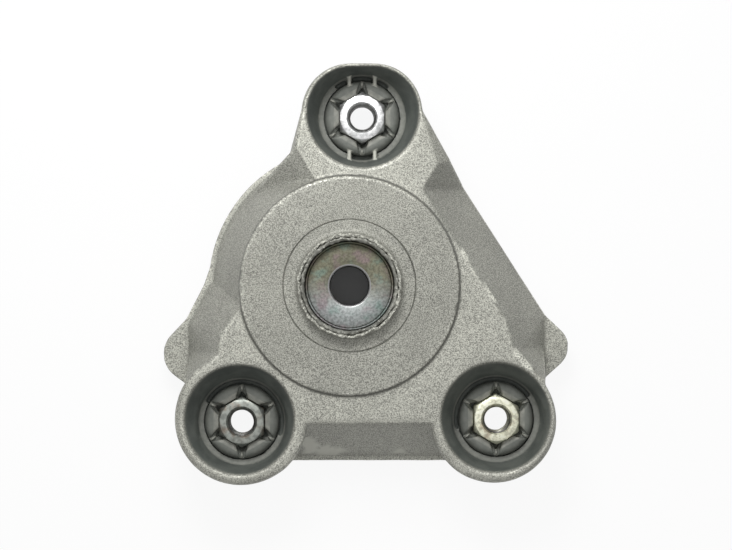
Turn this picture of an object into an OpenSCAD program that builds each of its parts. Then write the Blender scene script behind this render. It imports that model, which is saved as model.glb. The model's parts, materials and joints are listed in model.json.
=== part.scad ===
// Upper strut mount: cast aluminium housing with three captive nuts and a bonded rubber bush.
// Millimetres. The origin is on the damper rod's axis, in the plane that meets the car body, and +Z
// points to the strut side.

/* [Bolt positions] */
// Upper bolt, to the right of the rod axis
top_bolt_x = 4.6; // [3.5:0.1:5.5]
// Upper bolt, above the rod axis
top_bolt_y = 60.6; // [59.5:0.1:61.5]
// Left bolt, to the right of the rod axis
left_bolt_x = -38.8; // [-40:0.1:-37.5]
// Left bolt, above the rod axis
left_bolt_y = -49.0; // [-50:0.1:-48]
// Right bolt, to the right of the rod axis
right_bolt_x = 53.0; // [52:0.1:54]
// Right bolt, above the rod axis
right_bolt_y = -48.0; // [-49:0.1:-47]

/* [Casting] */
// Height of the deck above the body plane
deck_z = 24; // [23:0.5:26]
// Top of the flange that the flanks stand on
flange_z = 4; // [3:0.5:6]
// Height of the machined pads under the bolts, which keep the rest clear of the body
pad_rise = 0.8; // [0.5:0.1:1.5]
// Radius of the machined pads
pad_r = 15; // [13:0.5:16]
// Radius of the raised hub disc
disc_r = 39.1; // [38.6:0.1:39.8]
// Height of the hub disc above the deck
disc_rise = 1.5; // [1.2:0.1:2.5]
// Radius of the fine ring groove on the disc
groove_r = 23.5; // [21:0.5:30]
// Radius of the hub's flank where it meets the flange
hub_foot_r = 49.6; // [48.8:0.1:50.4]
// Radius of the round side of the flange
flange_r = 51.4; // [51:0.1:52.4]
// Radius of the boss on the left
left_boss_r = 23.7; // [23.2:0.1:24.4]
// Radius of the boss on the right
right_boss_r = 22.4; // [22:0.1:23]
// End radius of the oblong boss at the top
top_boss_r = 17.4; // [17.2:0.1:18]
// Distance from the rod axis to the tip of the left ear
left_reach = 67.9; // [66.5:0.1:69]
// Distance from the rod axis to the tip of the right ear
right_reach = 80; // [79:0.1:81.5]
// Rounding of the boss rims
rim_round = 2.0; // [1:0.1:2.2]
// Bevel along the deck's edges
deck_bevel = 0.9; // [0.5:0.1:1.4]
// Radius of the spigot on the body side
spigot_r = 35; // [34:0.5:36]
// Length of the spigot below the body plane
spigot_h = 6; // [5:0.5:8]

/* [Nut pockets] */
// Width across the nut's flats
nut_af = 16; // [15:0.5:16.5]
// Height of the nut
nut_h = 9.5; // [8:0.5:10.5]
// Radius of the nut's hole, at the crests of its thread
thread_r = 4.25; // [4:0.05:4.5]
// Casting left under the nut
nut_seat_z = 4; // [3:0.5:5]
// Radius of the bolt's clearance hole under the nut
bolt_hole_r = 5.5; // [5.2:0.1:6]
// Height of the pocket floor
floor_z = 10; // [9.5:0.5:10.5]
// Depth of the recessed parts of the floor
floor_step = 2.5; // [1:0.5:3]
// Radius of the pocket floor
floor_r = 15.5; // [15.2:0.1:15.8]
// Outer radius of the staked collar
collar_r = 13.4; // [13.2:0.1:13.8]
// Radius of the collar's round top
collar_round = 3.0; // [2.8:0.1:3.2]
// Radius of the two lower pockets' mouths
mouth_r = 19.4; // [19.1:0.1:19.7]

/* [Bush] */
// Radius of the damper rod's hole
rod_r = 7.0; // [6:0.1:7.5]
// Gap between the zinc-plated washer and the can's neck
washer_gap = 0.9; // [0.7:0.1:1.5]
// Thickness of the washer
washer_t = 3.0; // [2:0.5:4]
// Depth of the washer's face below the end of the neck
washer_depth = 5.5; // [4.5:0.5:6.5]
// Height of the neck above the disc
neck_h = 4.5; // [3.5:0.5:5.5]
// Wall of the drawn steel can
can_t = 1.2; // [1:0.1:1.4]
// Outer radius of the can's neck
can_neck_r = 17.2; // [17.1:0.1:17.6]
// Wall of the casting's staked neck lip
lip_t = 1.1; // [0.9:0.1:1.5]
// Outer radius of the can
can_r = 30; // [29:0.5:30.5]
// Outer radius of the inner sleeve
sleeve_r = 11; // [10:0.5:12]
// Radius of the sleeve's collar inside the rubber
sleeve_collar_r = 19; // [16:0.5:21]

/* [Hidden] */
$fn = 96;

// Overreach of cuts, thickness of a hull's layers, and play between pieces that are pressed together
over = 1;
skin = 0.01;
fit = 0.02;

// Bolts, boss middles and pocket mouths, which sit a little off the bolts
top_bolt = [top_bolt_x, top_bolt_y];
left_bolt = [left_bolt_x, left_bolt_y];
right_bolt = [right_bolt_x, right_bolt_y];
bolts = [top_bolt, left_bolt, right_bolt];
top_boss = top_bolt + [-0.1, 1.4];
left_boss = left_bolt + [0.1, 1.5];
right_boss = right_bolt + [-1.5, 0];
top_mouth = top_bolt + [0.2, 1.4];
left_mouth = left_bolt + [-0.3, 1.4];
right_mouth = right_bolt + [-0.9, 1.2];
top_boss_spread = 4.2;
top_mouth_spread = 4.1;
top_wall = 1.6;
mouth_bevel = 0.7;
mouth_play = 0.2;

// Recessed parts of each pocket's floor: first angle and sweep
top_recesses = [[50, 81], [245, 49]];
left_recesses = [[340, 172]];
right_recesses = [[34, 161]];
recess_in_r = collar_r + 0.3;
recess_out_r = floor_r - 0.4;
bar_x = 4.6;
bar_w = 1.4;
bar_rise = 1.5;
bar_in = 11;
bar_out = 16;

// Notches that part the staked collar's petals over the nut's corners, and the holes beside the corners
notch_w = 4.8;
notch_end_w = 1.5;
notch_z = floor_z + 0.4;
notch_play = 0.2;
hole_w = 2.8;
hole_tip_w = 0.5;
hole_end_r = 11.2;
hole_z = floor_z - 1;
dome_z = floor_z - 0.8;

// Corners of the flanks at the flange and at the deck, and the same for the arm of the top boss
lower_foot_y = -62;
lower_deck_y = -49.4;
body_foot = [[-15, 25], [-51.5, 0], [-58.7, -14], [-58.7, -36], [-50, -55], [-20, lower_foot_y],
             [34, lower_foot_y], [62, -57], [71.4, -33.6], [71.4, -10.8], [35.7, 44.9]];
body_deck = [[-18, 22], [-39.2, -7.2], [-45.9, -16.8], [-47.3, -24.2], [-44, -47], [-15, lower_deck_y],
             [29, lower_deck_y], [55, -46], [59.5, -24], [56.2, -12.2], [26, 35.5]];
arm_left_edge = [[-19.7, 49.2], [-6, 24.5]];
arm_right_edge = [[18.8, 21], [32.3, 43.2]];
arm_half_w = top_boss_spread + top_boss_r + 0.1;
arm_flare = 0.8;
arm_deck = concat([top_boss + [arm_half_w, 0], top_boss - [arm_half_w, 0]], arm_left_edge, arm_right_edge);

// Corners of the arm's walls below its two flanks, and how steeply each flank falls to them
arm_corner = [-22.1, 46.9];
arm_right_foot = [[41.9, 35.6], [35.9, 45]];
arm_foot = concat([top_boss + [arm_half_w + arm_flare, 0], top_boss - [arm_half_w + arm_flare, 0]],
                  [arm_corner, [-8, 21], [20.7, 20]], arm_right_foot);
arm_right_fall = 1.64;
left_slope_edge = [for (point = arm_left_edge) point + [0.45, 0.25]];
left_slope_deck = concat(left_slope_edge, [[2, 38]]);
left_slope_walls = [[-21.6, 45.6], [-32, 36.8], [-37.6, 30.2]];
left_slope_foot = concat(left_slope_walls, [[-7.4, 21.6]]);
left_slope_fall = 0.8;

// Corners of the webs that carry the deck's edges straight on to the rims of the two lower bosses
left_web_foot = [[-58.5, -24], [-58.5, -36.4], [-45, -50], [-40, -30]];
left_web_deck = [[-46.8, -23.4], [-58.2, -35.5], [-45, -50], [-40, -30]];
right_web_foot = [[71.2, -22], [71.2, -34], [58, -50], [52, -30]];
right_web_deck = [[58.9, -21.9], [69.8, -34.2], [58, -50], [52, -30]];

// Corners of the flange, and the two ears at its level
left_ear_r = 10;
left_ear = [left_ear_r - left_reach, -24.7];
left_ear_ends = [left_ear + [-1.7, 12.7], left_ear + [-1.5, -11.3]];
right_ear_r = 8.5;
right_ear = [right_reach - right_ear_r, -22.2];
right_ear_ends = [right_ear + [0.1, -11.4], right_ear + [0.1, 11.5]];
hub_side = [[-50.9, 7.1], [-53.2, 0.4]];
lower_ledge = 1.7;
lower_inset = 6.5;
flange_low_y = lower_foot_y - lower_ledge;
flange_corners = concat([arm_right_foot[1], arm_corner], hub_side, left_ear_ends,
                        [[left_bolt_x + lower_inset, flange_low_y],
                         [right_bolt_x - lower_inset, flange_low_y]],
                        right_ear_ends);

// Hub disc and neck
disc_z = deck_z + disc_rise;
neck_z = disc_z + neck_h;
disc_round = 0.8;
groove_w = 0.5;
groove_depth = 0.4;
hub_plate_t = 6;

// Cored slots between the hub and the flanks on the body side: first angle and sweep
core_slots = [[-22, 44], [27, 35], [108, 46], [159, 47], [254, 19], [278, 18]];
core_top_z = 11;
core_draft = 0.7;
core_wall = 5;
core_inner_wall = 2.5;
core_in_r = spigot_r + core_inner_wall;
hub_slope = (hub_foot_r - disc_r) / (deck_z - flange_z);

// Bush, from the strut side down
can_top_z = disc_z - hub_plate_t;
can_inset = 2;
can_end_z = can_inset - spigot_h;
can_neck_in_r = can_neck_r - can_t;
washer_r = can_neck_in_r - washer_gap;
can_in_r = can_r - can_t;
can_edge = can_t / 2;
washer_z = neck_z - washer_depth;
washer_edge = 0.6;
sleeve_top_z = washer_z - washer_t;
sleeve_inset = 3;
sleeve_end_z = sleeve_inset - spigot_h;
sleeve_edge = 0.8;
collar_z = 6;
collar_t = 4;
rubber_top_z = can_top_z - can_t - fit;
rubber_end_z = can_end_z + 2;
rubber_neck_r = can_neck_in_r - 2;
rubber_neck_drop = 3;
rubber_groove_r = 19.8;
rubber_groove_round = 5;

// Where the line from an outside point touches a circle, on the side given
function touch(middle, r, from, side) =
    let (d = from - middle, a = atan2(d[1], d[0]) + side * acos(r / norm(d)))
    middle + r * [cos(a), sin(a)];

// Ear of the flange: a round tab with straight edges to two corners, listed counter-clockwise
module ear(middle, r, ends) {
    translate(middle) circle(r);
    polygon([ends[0], touch(middle, r, ends[0], 1), middle, touch(middle, r, ends[1], -1), ends[1]]);
}

module flange() {
    translate([0, 0, pad_rise]) linear_extrude(flange_z - pad_rise) {
        circle(flange_r);
        polygon(flange_corners);
        ear(left_ear, left_ear_r, left_ear_ends);
        ear(right_ear, right_ear_r, right_ear_ends);
    }
}

// Top of a flank over a corner of its foot, on the slope that falls from an edge of the deck
function shoulder(corner, edge, fall) =
    let (out = cross(corner - edge[0], edge[1] - edge[0]) / norm(edge[1] - edge[0]))
    [corner[0], corner[1], max(deck_z - fall * out, flange_z)];

// Block with sloped sides, from its foot on the flange to its bevelled top at the deck
module flank_block(foot, top, shoulders = []) {
    hull() {
        translate([0, 0, pad_rise]) linear_extrude(flange_z - pad_rise) polygon(foot);
        translate([0, 0, deck_z - deck_bevel]) linear_extrude(skin) polygon(top);
        translate([0, 0, deck_z - skin]) linear_extrude(skin) offset(delta = -deck_bevel) polygon(top);
        for (point = shoulders) translate(point - [skin, skin, skin] / 2) cube(skin);
    }
}

// Arm of the top boss and the slope on its left, whose flanks end above the flange in upright walls
module arm_block() {
    flank_block(arm_foot, arm_deck,
                [for (corner = arm_right_foot) shoulder(corner, arm_right_edge, arm_right_fall)]);
}

module left_slope() {
    flank_block(left_slope_foot, left_slope_deck,
                [for (corner = left_slope_walls) shoulder(corner, left_slope_edge, left_slope_fall)]);
}

// Half of a boss's section, with its rounded rim
module boss_section(r) {
    translate([0, pad_rise]) square([r - rim_round, deck_z - pad_rise]);
    translate([0, pad_rise]) square([r, deck_z - pad_rise - rim_round]);
    intersection() {
        translate([r - rim_round, deck_z - rim_round]) circle(rim_round);
        translate([r - rim_round, deck_z - rim_round]) square(rim_round);
    }
}

module round_boss(middle, r) {
    translate(middle) rotate_extrude() boss_section(r);
}

module oblong_boss() {
    for (side = [-1, 1]) translate(top_boss + [side * top_boss_spread, 0])
        rotate(-90 * side) rotate_extrude(angle = 180) boss_section(top_boss_r);
    translate(top_boss - [top_boss_spread, 0])
        rotate([90, 0, 90]) linear_extrude(2 * top_boss_spread) {
            boss_section(top_boss_r);
            mirror([1, 0]) boss_section(top_boss_r);
        }
}

// Machined pad that meets the body under a bolt
module pad(bolt) {
    translate(bolt) cylinder(r = pad_r, h = pad_rise + over);
}

// Hub: sloped flank, raised disc with a rounded edge, staked neck lip, and spigot
module hub() {
    lip_mid_r = can_neck_r + lip_t / 2;
    translate([0, 0, flange_z - over])
        cylinder(r1 = hub_foot_r + over * hub_slope, r2 = disc_r, h = deck_z - flange_z + over);
    translate([0, 0, -spigot_h]) cylinder(r = spigot_r, h = deck_z);
    rotate_extrude() {
        translate([0, deck_z - over]) square([disc_r, disc_rise + over - disc_round]);
        translate([0, deck_z - over]) square([disc_r - disc_round, disc_rise + over]);
        translate([disc_r - disc_round, disc_z - disc_round]) circle(disc_round);
        translate([can_neck_r - over, disc_z - over]) square([lip_t + over, neck_h + over - lip_t / 2]);
        translate([lip_mid_r, neck_z - lip_t / 2]) circle(lip_t / 2);
    }
}

// Cuts of the hub: the can's seat, the neck, the ring groove and the cored slots
module hub_cuts() {
    translate([0, 0, -spigot_h - over]) cylinder(r = can_r + fit, h = can_top_z + spigot_h + over);
    cylinder(r = can_neck_r + fit, h = neck_z + over);
    rotate_extrude() translate([groove_r - groove_w / 2, disc_z - groove_depth])
        square([groove_w, groove_depth + over]);
    core_out_r = hub_foot_r + hub_slope * (flange_z - pad_rise) - core_wall;
    core_h = core_top_z - pad_rise;
    for (slot = core_slots) rotate(slot[0]) rotate_extrude(angle = slot[1])
        polygon([[core_in_r, -over], [core_out_r, -over], [core_out_r, pad_rise],
                 [core_out_r - core_h * hub_slope, core_top_z], [core_in_r + core_draft, core_top_z],
                 [core_in_r, pad_rise]]);
}

// Drafted half section of a pocket, with a bevel at its mouth
module pocket_section(low_r, high_r) {
    polygon([[0, floor_z], [low_r, floor_z], [high_r, deck_z - mouth_bevel],
             [high_r + mouth_bevel, deck_z], [high_r + mouth_bevel, deck_z + over], [0, deck_z + over]]);
}

// Round pocket: its floor is centred on the nut, and its mouth a little off it
module round_pocket(bolt, mouth) {
    shift = norm(mouth - bolt);
    translate(bolt) rotate_extrude() pocket_section(floor_r, mouth_r - shift - mouth_play);
    translate(mouth) rotate_extrude() pocket_section(floor_r - shift - mouth_play, mouth_r);
}

// Layer of the top pocket's mouth: half round toward the hub, and flat with round corners on the far side
module oblong_layer(z, grow) {
    end_r = top_boss_r - top_wall + grow;
    wide_r = end_r + top_mouth_spread;
    translate([top_mouth[0], top_mouth[1], z]) linear_extrude(skin, $fn = 64) {
        intersection() {
            circle(wide_r);
            translate([-wide_r, -wide_r]) square([2 * wide_r, wide_r]);
        }
        for (side = [-1, 1]) translate([side * top_mouth_spread, 0]) circle(end_r);
    }
}

// Pocket of the top boss, from a round floor to its oblong mouth
module oblong_pocket() {
    hull() {
        translate([top_bolt[0], top_bolt[1], floor_z]) cylinder(r = floor_r, h = skin, $fn = 64);
        oblong_layer(deck_z - mouth_bevel, 0);
    }
    hull() {
        oblong_layer(deck_z - mouth_bevel - skin, 0);
        oblong_layer(deck_z + over, mouth_bevel + over);
    }
}

// Recessed parts of a pocket's floor, round the collar
module floor_recesses(bolt, recesses) {
    for (recess = recesses) translate(bolt) rotate(recess[0]) rotate_extrude(angle = recess[1])
        translate([recess_in_r, floor_z - floor_step])
            square([recess_out_r - recess_in_r, floor_step + over]);
}

// Staked collar: a round bead that the notches divide into six petals
module collar(bolt) {
    translate(bolt) rotate_extrude() translate([collar_r - collar_round, dome_z]) circle(collar_round);
}

// Seat of a nut, with the notches over its corners and the bolt's hole below it
module nut_seat(bolt) {
    corner_r = nut_af / 2 / cos(30);
    translate([bolt[0], bolt[1], nut_seat_z]) rotate(30)
        cylinder(r = corner_r + 2 * fit, h = deck_z, $fn = 6);
    translate([bolt[0], bolt[1], -over]) cylinder(r = bolt_hole_r, h = nut_seat_z + 2 * over);
    for (i = [0 : 5]) translate(bolt) rotate(30 + 60 * i) {
        wedge(corner_r - 2 * over, notch_w, collar_r + notch_play, notch_end_w, notch_z);
        wedge(corner_r - over, hole_w, hole_end_r, hole_tip_w, hole_z);
    }
}

// Tapered cut along +X, from a floor upward
module wedge(near, near_w, far, far_w, z) {
    translate([0, 0, z]) linear_extrude(deck_z)
        polygon([[near, -near_w / 2], [far, -far_w / 2], [far, far_w / 2], [near, near_w / 2]]);
}

// Two short bars across each recess of the top pocket
module floor_bars() {
    bar_h = floor_step + over + bar_rise;
    for (x = [-bar_x, bar_x], side = [-1, 1])
        translate([top_bolt[0] + x, top_bolt[1] + side * (bar_in + bar_out) / 2, floor_z + bar_rise - bar_h / 2])
            cube([bar_w, bar_out - bar_in, bar_h], center = true);
}

module housing() {
    color("silver") difference() {
        union() {
            difference() {
                union() {
                    flange();
                    flank_block(body_foot, body_deck);
                    arm_block();
                    left_slope();
                    flank_block(left_web_foot, left_web_deck);
                    flank_block(right_web_foot, right_web_deck);
                    round_boss(left_boss, left_boss_r);
                    round_boss(right_boss, right_boss_r);
                    oblong_boss();
                    hub();
                    for (bolt = bolts) pad(bolt);
                }
                hub_cuts();
                oblong_pocket();
                round_pocket(left_bolt, left_mouth);
                round_pocket(right_bolt, right_mouth);
                floor_recesses(top_bolt, top_recesses);
                floor_recesses(left_bolt, left_recesses);
                floor_recesses(right_bolt, right_recesses);
            }
            for (bolt = bolts) collar(bolt);
            floor_bars();
        }
        for (bolt = bolts) nut_seat(bolt);
    }
}

// Hex nut with bevelled corners and a countersunk hole
module hex_nut() {
    corner_r = nut_af / 2 / cos(30);
    bevel_h = (corner_r - nut_af / 2) * tan(30);
    sink = 1.35;
    difference() {
        intersection() {
            rotate(30) cylinder(r = corner_r, h = nut_h, $fn = 6);
            rotate_extrude() polygon([[0, 0], [corner_r + skin, 0], [corner_r + skin, nut_h - bevel_h],
                                      [nut_af / 2 - skin, nut_h], [0, nut_h]]);
        }
        rotate_extrude() polygon([[0, -over], [thread_r + sink + over, -over], [thread_r, sink],
                                  [thread_r, nut_h - sink], [thread_r + sink + over, nut_h + over],
                                  [0, nut_h + over]]);
    }
}

module captive_nuts() {
    color("lightgray") for (bolt = bolts)
        translate([bolt[0], bolt[1], nut_seat_z]) hex_nut();
}

module bush_can() {
    color("gainsboro") rotate_extrude() {
        polygon([[can_neck_in_r, can_top_z - can_t], [can_in_r, can_top_z - can_t], [can_in_r, can_end_z],
                 [can_r, can_end_z], [can_r, can_top_z], [can_neck_r, can_top_z],
                 [can_neck_r, neck_z - can_edge], [can_neck_in_r, neck_z - can_edge]]);
        translate([can_neck_r - can_edge, neck_z - can_edge]) circle(can_edge);
    }
}

module rubber_bush() {
    in_r = sleeve_r + fit;
    color("dimgray") rotate_extrude() difference() {
        polygon([[in_r, rubber_end_z], [can_in_r - fit, rubber_end_z], [can_in_r - fit, rubber_top_z],
                 [rubber_neck_r, rubber_top_z], [in_r, rubber_top_z - rubber_neck_drop],
                 [in_r, collar_z + collar_t + fit], [sleeve_collar_r + fit, collar_z + collar_t + fit],
                 [sleeve_collar_r + fit, collar_z - fit], [in_r, collar_z - fit]]);
        translate([rubber_groove_r, rubber_end_z]) circle(rubber_groove_round);
    }
}

module inner_sleeve() {
    color("gray") rotate_extrude()
        polygon([[rod_r + sleeve_edge, sleeve_end_z], [sleeve_r, sleeve_end_z], [sleeve_r, collar_z],
                 [sleeve_collar_r, collar_z], [sleeve_collar_r, collar_z + collar_t],
                 [sleeve_r, collar_z + collar_t], [sleeve_r, sleeve_top_z], [rod_r, sleeve_top_z],
                 [rod_r, sleeve_end_z + sleeve_edge]]);
}

module rod_washer() {
    color("darkkhaki") rotate_extrude()
        polygon([[rod_r, sleeve_top_z], [washer_r, sleeve_top_z], [washer_r, washer_z - washer_edge],
                 [washer_r - washer_edge, washer_z], [rod_r + washer_edge, washer_z],
                 [rod_r, washer_z - washer_edge]]);
}

housing();
captive_nuts();
bush_can();
rubber_bush();
inner_sleeve();
rod_washer();
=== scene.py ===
# Looks of the upper strut mount: blasted casting, staked nuts, ragged neck and plated washer.
import itertools
import json
import math

import bmesh
import bpy
import numpy as np
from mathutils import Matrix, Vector
from mathutils.kdtree import KDTree


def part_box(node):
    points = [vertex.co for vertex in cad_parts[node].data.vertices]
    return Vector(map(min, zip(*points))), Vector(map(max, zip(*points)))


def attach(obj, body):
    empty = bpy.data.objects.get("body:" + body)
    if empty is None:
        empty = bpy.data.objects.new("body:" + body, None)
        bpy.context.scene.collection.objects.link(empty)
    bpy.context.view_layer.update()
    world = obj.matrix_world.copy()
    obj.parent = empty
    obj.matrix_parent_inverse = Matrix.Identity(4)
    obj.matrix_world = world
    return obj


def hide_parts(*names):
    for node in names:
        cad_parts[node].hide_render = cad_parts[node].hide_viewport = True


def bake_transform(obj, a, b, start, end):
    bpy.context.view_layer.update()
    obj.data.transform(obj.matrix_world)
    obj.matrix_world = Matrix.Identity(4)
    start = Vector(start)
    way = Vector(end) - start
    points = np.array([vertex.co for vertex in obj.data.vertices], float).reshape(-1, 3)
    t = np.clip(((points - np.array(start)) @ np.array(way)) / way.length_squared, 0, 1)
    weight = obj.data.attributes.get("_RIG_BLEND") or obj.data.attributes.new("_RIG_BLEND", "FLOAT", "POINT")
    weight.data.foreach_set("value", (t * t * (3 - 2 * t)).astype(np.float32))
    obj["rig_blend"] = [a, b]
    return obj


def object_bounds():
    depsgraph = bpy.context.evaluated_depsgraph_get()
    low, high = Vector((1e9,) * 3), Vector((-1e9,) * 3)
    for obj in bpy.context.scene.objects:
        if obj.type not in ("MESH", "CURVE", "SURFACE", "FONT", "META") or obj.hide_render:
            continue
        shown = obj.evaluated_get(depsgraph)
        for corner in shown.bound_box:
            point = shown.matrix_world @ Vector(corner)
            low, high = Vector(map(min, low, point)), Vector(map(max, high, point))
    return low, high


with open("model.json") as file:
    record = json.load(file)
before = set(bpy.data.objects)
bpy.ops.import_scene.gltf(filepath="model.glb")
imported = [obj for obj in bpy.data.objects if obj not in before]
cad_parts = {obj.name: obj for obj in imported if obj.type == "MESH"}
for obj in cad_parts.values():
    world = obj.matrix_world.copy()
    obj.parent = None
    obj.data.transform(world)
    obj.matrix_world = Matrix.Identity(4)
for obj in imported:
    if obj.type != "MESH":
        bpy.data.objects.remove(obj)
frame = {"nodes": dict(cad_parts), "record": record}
cad_box = [list(corner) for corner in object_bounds()]
nodes = frame["nodes"]
mounts = {mount["name"]: mount for mount in frame["record"]["mounts"]}

MM = 0.001
HOUSING = "housing"
ROD_SEAT = "rod_seat"
FULL_TURN = 2 * math.pi

# Photograph's frame and camera, as worked out from how deep features shift in it
PHOTO_W = 732
AXIS_PX = (345, 296)
CENTRE_PX = (366, 275)
FOCAL_PX = 1974
SENSOR_MM = 36
CAMERA_PLACE = Vector((-1.56, -3.65, 724)) * MM


def in_mm(metres):
    return np.array(metres, float) / MM


# Places taken from the frame, in millimetres
BOLTS = {side: in_mm(mounts[side + "_thread"]["pos_m"])[:2] for side in ("top", "left", "right")}
NUT_LOW, NUT_HIGH = (in_mm(corner)[2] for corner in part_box("captive_nuts"))
NECK_TOP = in_mm(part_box("bush_can")[1])[2]
CAN_END, CAN_R = in_mm(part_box("bush_can")[0])[2], in_mm(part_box("bush_can")[1])[0]
DISC_TOP = in_mm(mounts["bearing_seat"]["pos_m"])[2]
LIP_R = mounts["neck"]["dims"]["r_mm"]
ROD_R = mounts["rod_bore"]["dims"]["r_mm"]
THREAD_R = mounts["top_thread"]["dims"]["r_mm"]
RUBBER_LOW, RUBBER_HIGH = (in_mm(corner)[2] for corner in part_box("rubber_bush"))
WASHER_LOW, WASHER_HIGH = (in_mm(corner)[2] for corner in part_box("rod_washer"))
WASHER_R = in_mm(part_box("rod_washer")[1])[0]
LATTICE_LOW = in_mm(cad_box[0]) - 5

# Sizes of the casting's features, in millimetres
DECK_TOP = 24.0
NUT_AF = 16.0
COLLAR_R = 13.4
COLLAR_TOP = 12.2
COLLAR_GAP = 0.3
FLOOR_Z = 10.0
FLOOR_R = 15.5
BAR_X = 4.6
BAR_HALF_W = 0.65
BAR_TOP = 11.7
DISC_R = 39.1
MOUTH_EDGE_R = 20.6
TOP_MOUTH_SPREAD = 4.1
TOP_MOUTH_END_R = 16.6
MOUTH_SHIFT = {"top": (0.2, 1.4), "left": (-0.3, 1.4), "right": (-0.9, 1.2)}
PAD_R = 15.0
LOW_EDGE_X, LOW_EDGE_Y = 7.0, -49.4
RUBBED_PLACES = [((-14.0, -58.0), (3.2, 3.6)), ((-8.8, -60.0), (6.6, 2.1)), ((18.6, -59.8), (2.0, 1.3))]
SCUFFED_EDGE = np.array([(40.5, 12.5), (56.2, -12.2), (59.5, -24.0), (64.0, -29.5)])
GROOVE_R = 23.5
CAN_T = 1.2
CAN_NECK_R = 17.2
SLEEVE_R = 11.0
SLEEVE_COLLAR_R = 19.0
SLEEVE_COLLAR_LOW, SLEEVE_COLLAR_HIGH = 6.0, 10.0

# Seeds of the noise that shapes and marks the pieces
NICK_SEED, WAVE_SEED, RIPPLE_SEED = 1, 2, 3
LIP_SEED, RUB_SEED, SCUFF_SEED, CAN_SEED = 21, 31, 41, 51

# Depth of bump for fine surfaces, in metres, and the paleness of the floor
FINE_BUMP = 0.0002
FLOOR_TONE = 0.85


def smooth_step(low, high, value):
    """Ease from 0 at low to 1 at high."""
    part = np.clip((value - low) / (high - low), 0, 1)
    return part * part * (3 - 2 * part)


def lattice_noise(points, cell, seed):
    """Smooth seeded noise from 0 to 1 at points, with features about a cell wide."""
    place = (points - LATTICE_LOW) / cell
    low = np.floor(place).astype(int)
    part = smooth_step(0, 1, place - low)
    table = np.random.default_rng(seed).random(tuple(low.max(axis=0) + 2))
    total = np.zeros(len(points))
    for corner in itertools.product((0, 1), repeat=3):
        weight = np.prod(np.where(corner, part, 1 - part), axis=1)
        total += weight * table[tuple((low + corner).T)]
    return total


def shaken(points, cell, reach, seed):
    """Points moved by noise of their own on each axis, up to half of reach either way."""
    moves = [lattice_noise(points, cell, seed + axis) - 0.5 for axis in range(3)]
    return points + reach * np.stack(moves, axis=1)


def link(obj):
    bpy.context.scene.collection.objects.link(obj)
    return obj


def new_object(name, mesh):
    return link(bpy.data.objects.new(name, mesh))


def shade(mesh, angle_deg):
    """Smooth shading with sharp edges where faces meet at more than an angle."""
    mesh.polygons.foreach_set("use_smooth", np.ones(len(mesh.polygons), bool))
    mesh.set_sharp_from_angle(angle=math.radians(angle_deg))


def closed_mesh(name, points, faces):
    """Mesh of points in millimetres, with its faces turned outward."""
    mesh = bpy.data.meshes.new(name)
    mesh.from_pydata((np.array(points) * MM).tolist(), [], faces)
    work = bmesh.new()
    work.from_mesh(mesh)
    bmesh.ops.recalc_face_normals(work, faces=work.faces)
    work.to_mesh(mesh)
    work.free()
    return mesh


def ring_mesh(name, rings):
    """Mesh of closed loops of points in millimetres, each joined to the next and the last to the first."""
    rows, columns = rings.shape[:2]
    index = np.arange(rows * columns).reshape(rows, columns)
    across = np.roll(index, -1, axis=1)
    down = np.roll(index, -1, axis=0)
    quads = np.stack([index, across, np.roll(down, -1, axis=1), down], axis=-1).reshape(-1, 4)
    return closed_mesh(name, rings.reshape(-1, 3), quads.tolist())


def angles(count):
    return np.arange(count) * FULL_TURN / count


def polar_rings(radius, height, centre=(0, 0)):
    """Loops round an axis, from arrays with a row for each loop and a column for each angle."""
    radius, height = np.broadcast_arrays(radius, height)
    angle = angles(radius.shape[1])
    x = centre[0] + radius * np.cos(angle)
    y = centre[1] + radius * np.sin(angle)
    return np.stack([x, y, height], axis=-1)


def turned_rings(profile, count):
    """Loops of a closed profile of radius and height turned round the rod axis."""
    profile = np.array(profile, float)
    flat = np.ones(count)
    return polar_rings(profile[:, :1] * flat, profile[:, 1:] * flat)


def fine_profile(profile, step):
    """Closed profile with points added so that none are more than a step apart."""
    fine = []
    for start, end in zip(profile, profile[1:] + profile[:1]):
        count = max(1, math.ceil(math.dist(start, end) / step))
        for i in range(count):
            fine.append(tuple(a + (b - a) * i / count for a, b in zip(start, end)))
    return fine


def hex_radius(angle, apothem):
    """Distance from the axis to a hexagon with slightly rounded corners."""
    power = 80
    total = sum(np.abs(np.cos(angle - i * math.pi / 3)) ** power for i in range(3))
    return apothem / total ** (1 / power)


def dress(obj, body, node, material):
    """Put a piece on its body in place of a node, with its finish."""
    obj.data.materials.clear()
    obj.data.materials.append(material)
    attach(obj, body)
    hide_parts(node)
    return obj


# Node helpers


def add_node(tree, kind, inputs, **settings):
    """Add a shader node, with its settings and its inputs by name or number."""
    node = tree.nodes.new(kind)
    for key, value in settings.items():
        setattr(node, key, value)
    for key, value in inputs.items():
        socket = node.inputs[key]
        if isinstance(value, bpy.types.NodeSocket):
            tree.links.new(value, socket)
        else:
            socket.default_value = value
    return node


def new_material(name):
    material = bpy.data.materials.new(name)
    material.use_nodes = True
    tree = material.node_tree
    coords = add_node(tree, "ShaderNodeTexCoord", {}).outputs["Object"]
    return material, tree, tree.nodes["Principled BSDF"], coords


def noise(tree, coords, scale, detail=2.0, roughness=0.6):
    inputs = {"Vector": coords, "Scale": scale, "Detail": detail, "Roughness": roughness}
    return add_node(tree, "ShaderNodeTexNoise", inputs).outputs["Fac"]


def span(tree, value, low, high, to_low=0.0, to_high=1.0):
    inputs = {"Value": value, "From Min": low, "From Max": high, "To Min": to_low, "To Max": to_high}
    return add_node(tree, "ShaderNodeMapRange", inputs, interpolation_type="SMOOTHSTEP").outputs["Result"]


def calc(tree, operation, a, b):
    return add_node(tree, "ShaderNodeMath", {0: a, 1: b}, operation=operation).outputs[0]


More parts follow.
